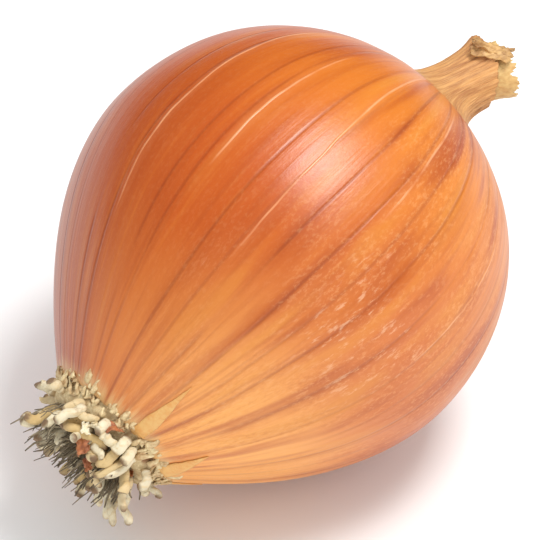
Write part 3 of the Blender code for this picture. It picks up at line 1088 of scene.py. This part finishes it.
roots = grown("thick_roots", strands_of_roots, root_values, strand_mesh("root_lines", strands))
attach(roots, "root")
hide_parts(*ROOT_NAMES)

# each crossing root: three places (side, depth, height), thickness in metres, shade
CROSSING_ROOTS = (
    ((-0.13, 0.27, -1.17), (-0.15, 0.31, -1.24), (-0.17, 0.30, -1.31), 0.00105, 0.3),
    ((-0.135, 0.25, -1.285), (-0.03, 0.27, -1.225), (0.05, 0.27, -1.240), 0.00080, 0.95),
    ((0.00, 0.30, -1.205), (0.03, 0.31, -1.20), (0.085, 0.29, -1.205), 0.00085, 0.6),
    ((0.01, 0.25, -1.255), (0.04, 0.27, -1.25), (0.08, 0.26, -1.285), 0.00075, 0.5),
    ((0.075, 0.25, -1.300), (0.15, 0.28, -1.250), (0.105, 0.28, -1.165), 0.00085, 0.9),
    ((0.10, 0.31, -1.225), (0.095, 0.32, -1.18), (0.082, 0.30, -1.150), 0.00095, 0.35),
    ((-0.125, 0.28, -1.205), (-0.08, 0.31, -1.215), (-0.06, 0.28, -1.165), 0.00070, 0.75),
    ((0.17, 0.20, -1.14), (0.19, 0.24, -1.22), (0.15, 0.22, -1.31), 0.00105, 0.4),
    ((0.14, 0.24, -1.15), (0.17, 0.27, -1.26), (0.11, 0.22, -1.34), 0.00085, 0.85),
    ((-0.02, 0.16, -1.20), (0.06, 0.20, -1.33), (0.16, 0.16, -1.35), 0.00080, 0.8),
)
strands = []
for number, (first, second, third, thickness, shade) in enumerate(CROSSING_ROOTS):
    points = wavy(curved(at(*first), at(*second), at(*third), 18), 0.0008, number + 60.5)
    strands.append((points, thickness, shade, 1.0))
lines = strand_mesh("crossing_lines", strands)
crossing = grown("crossing_roots", strands_of_roots, root_values, lines)
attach(crossing, "root")

# fine rootlets, which grow from the plate's hollow
ROOTLETS = 380
ROOTLET_REACH = 0.21  # how far from the axis they grow
ROOTLET_FOOT = -1.15
strands = []
for number in range(ROOTLETS):
    turn, reach = chance.uniform(0, 2 * math.pi), ROOTLET_REACH * math.sqrt(chance.random())
    side, depth = reach * math.cos(turn) + PLATE_ASIDE, reach * math.sin(turn)
    length = chance.uniform(0.10, 0.24) * (1.1 - reach)
    spread = chance.uniform(0.1, 0.45)
    start = at(side, depth, ROOTLET_FOOT)
    end = at(side * (1 + spread) - 0.02, depth * (1 + spread), ROOTLET_FOOT - length)
    stray = Vector((chance.gauss(0, 1), chance.gauss(0, 1), chance.gauss(0, 1))) * 0.0008
    points = wavy(curved(start, (start + end) / 2 + stray, end + stray, 6), 0.0014, number + 100.5)
    strands.append((points, chance.uniform(0.00011, 0.00023), chance.random(), 0.0))
rootlet_finish = root_material("rootlet", (0.27, 0.22, 0.14), (0.15, 0.11, 0.065), (0.11, 0.08, 0.05))
rootlet_values = {"Sides": 4, "Flatness": 0.9, "Knobbles": 0.0, "Material": rootlet_finish}
lines = strand_mesh("rootlet_lines", strands)
rootlets = grown("fine_rootlets", strands_of_roots, {**root_values, **rootlet_values}, lines)
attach(rootlets, "root")

# red-brown and white flakes of skin caught among the roots: where, which way long and wide, finish
red_flake = parchment("red_flake", (0.48, 0.17, 0.06), (0.24, 0.07, 0.03))
white_flake = parchment("white_flake", (0.84, 0.78, 0.60), (0.70, 0.55, 0.30))
FLAKE_CURL, FLAKE_CRUSH = 0.0004, 0.0006
FLAKES = (
    ((-0.025, 0.26, -1.285), (0.075, 0.01, -0.055), (0.02, 0.03, 0.05), red_flake),
    ((0.02, 0.31, -1.150), (0.05, -0.02, 0.05), (0.04, 0.03, -0.02), red_flake),
    ((0.055, 0.22, -1.325), (0.05, 0.01, -0.03), (0.01, 0.02, 0.03), red_flake),
    ((-0.06, 0.29, -1.235), (0.03, 0.02, -0.04), (0.03, -0.01, 0.02), white_flake),
    ((-0.035, 0.30, -1.200), (0.05, 0.0, 0.01), (0.0, 0.02, 0.025), white_flake),
    ((0.20, 0.12, -1.19), (0.04, 0.02, -0.05), (0.03, 0.01, 0.02), red_flake),
    ((-0.15, -0.18, -1.22), (0.05, 0.02, -0.05), (0.03, 0.02, 0.02), red_flake),
)
for number, (centre, length, width, finish) in enumerate(FLAKES, 1):
    length, width = between((0, 0, 0), length), between((0, 0, 0), width)
    crumpled(
        f"flake_{number}", at(*centre), length, width, FLAKE_CURL, FLAKE_CRUSH, number * 5.1,
        finish,
    )


# ---------------------------------------------------------------------------------------------
# The table, a plain pale sheet, and soft studio light: a small softbox high in front for the gloss,
# a broad weak one low in front, and a pale room. The camera looks down from the root end's side.
# ---------------------------------------------------------------------------------------------

VIEW_TURN = math.radians(-43.2)
VIEW_RISE = math.radians(41.2)
VIEW_DISTANCE = 0.6
SENSOR = 36.0
BULB_WIDTH_SHARE = 0.825  # share of the frame's width that the bulb fills
AIM_ASIDE, AIM_BELOW = 0.0010, 0.0028  # metres from the bulb's middle to where the camera aims
TABLE_REACH = 3.0
TABLE_GREY = 0.86
ROOM_STRENGTH = 0.90

backwards = Vector((
    math.sin(VIEW_TURN) * math.cos(VIEW_RISE),
    -math.cos(VIEW_TURN) * math.cos(VIEW_RISE),
    math.sin(VIEW_RISE),
))
sideways = Vector((math.cos(VIEW_TURN), math.sin(VIEW_TURN), 0))
upwards = backwards.cross(sideways)

camera_data = bpy.data.cameras.new("camera")
camera_data.sensor_width = SENSOR
grazing = math.sqrt(VIEW_DISTANCE**2 - BULB_RADIUS**2) / BULB_RADIUS
camera_data.lens = SENSOR * BULB_WIDTH_SHARE / 2 * grazing
camera_data.clip_start = 0.01
camera = bpy.data.objects.new("camera", camera_data)
aim = BULB_PLACE.translation - sideways * AIM_ASIDE - upwards * AIM_BELOW
turned = Matrix((sideways, upwards, backwards)).transposed().to_4x4()
camera.matrix_world = Matrix.Translation(aim + backwards * VIEW_DISTANCE) @ turned
bpy.context.scene.collection.objects.link(camera)
bpy.context.scene.camera = camera

table_mesh = bpy.data.meshes.new("table")
corners = [(x * TABLE_REACH, y * TABLE_REACH, 0) for x, y in ((-1, -1), (1, -1), (1, 1), (-1, 1))]
table_mesh.from_pydata(corners, [], [(0, 1, 2, 3)])
table = bpy.data.objects.new("table", table_mesh)
bpy.context.scene.collection.objects.link(table)
table_finish, table_shader, _ = blank_material("table")
table_shader.inputs["Base Color"].default_value = (TABLE_GREY, TABLE_GREY, TABLE_GREY, 1)
table_shader.inputs["Roughness"].default_value = 0.9
table_mesh.materials.append(table_finish)


def softbox(name, way, distance, width, height, watts):
    """A soft studio light that faces the onion from the given way. Sizes are in metres."""
    data = bpy.data.lights.new(name, "AREA")
    data.shape = "RECTANGLE"
    data.size = width
    data.size_y = height
    data.energy = watts
    light = bpy.data.objects.new(name, data)
    light.location = BULB_PLACE.translation + way.normalized() * distance
    light.rotation_euler = way.to_track_quat("Z", "Y").to_euler()
    bpy.context.scene.collection.objects.link(light)
    return light


above = sideways * 0.31 + upwards * 0.67 + backwards * 0.66
softbox("key", above, distance=0.6, width=0.24, height=0.17, watts=2.6)
below = backwards * 0.8 - upwards * 0.5
fill = softbox("fill", below, distance=0.9, width=1.0, height=0.7, watts=2.2)
fill.visible_glossy = False
world = bpy.data.worlds.new("room")
world.use_nodes = True
room = world.node_tree.nodes["Background"]
room.inputs["Color"].default_value = (1, 1, 1, 1)
room.inputs["Strength"].default_value = ROOM_STRENGTH
world.cycles_visibility.glossy = False
bpy.context.scene.world = world
bpy.context.scene.view_settings.view_transform = "Standard"
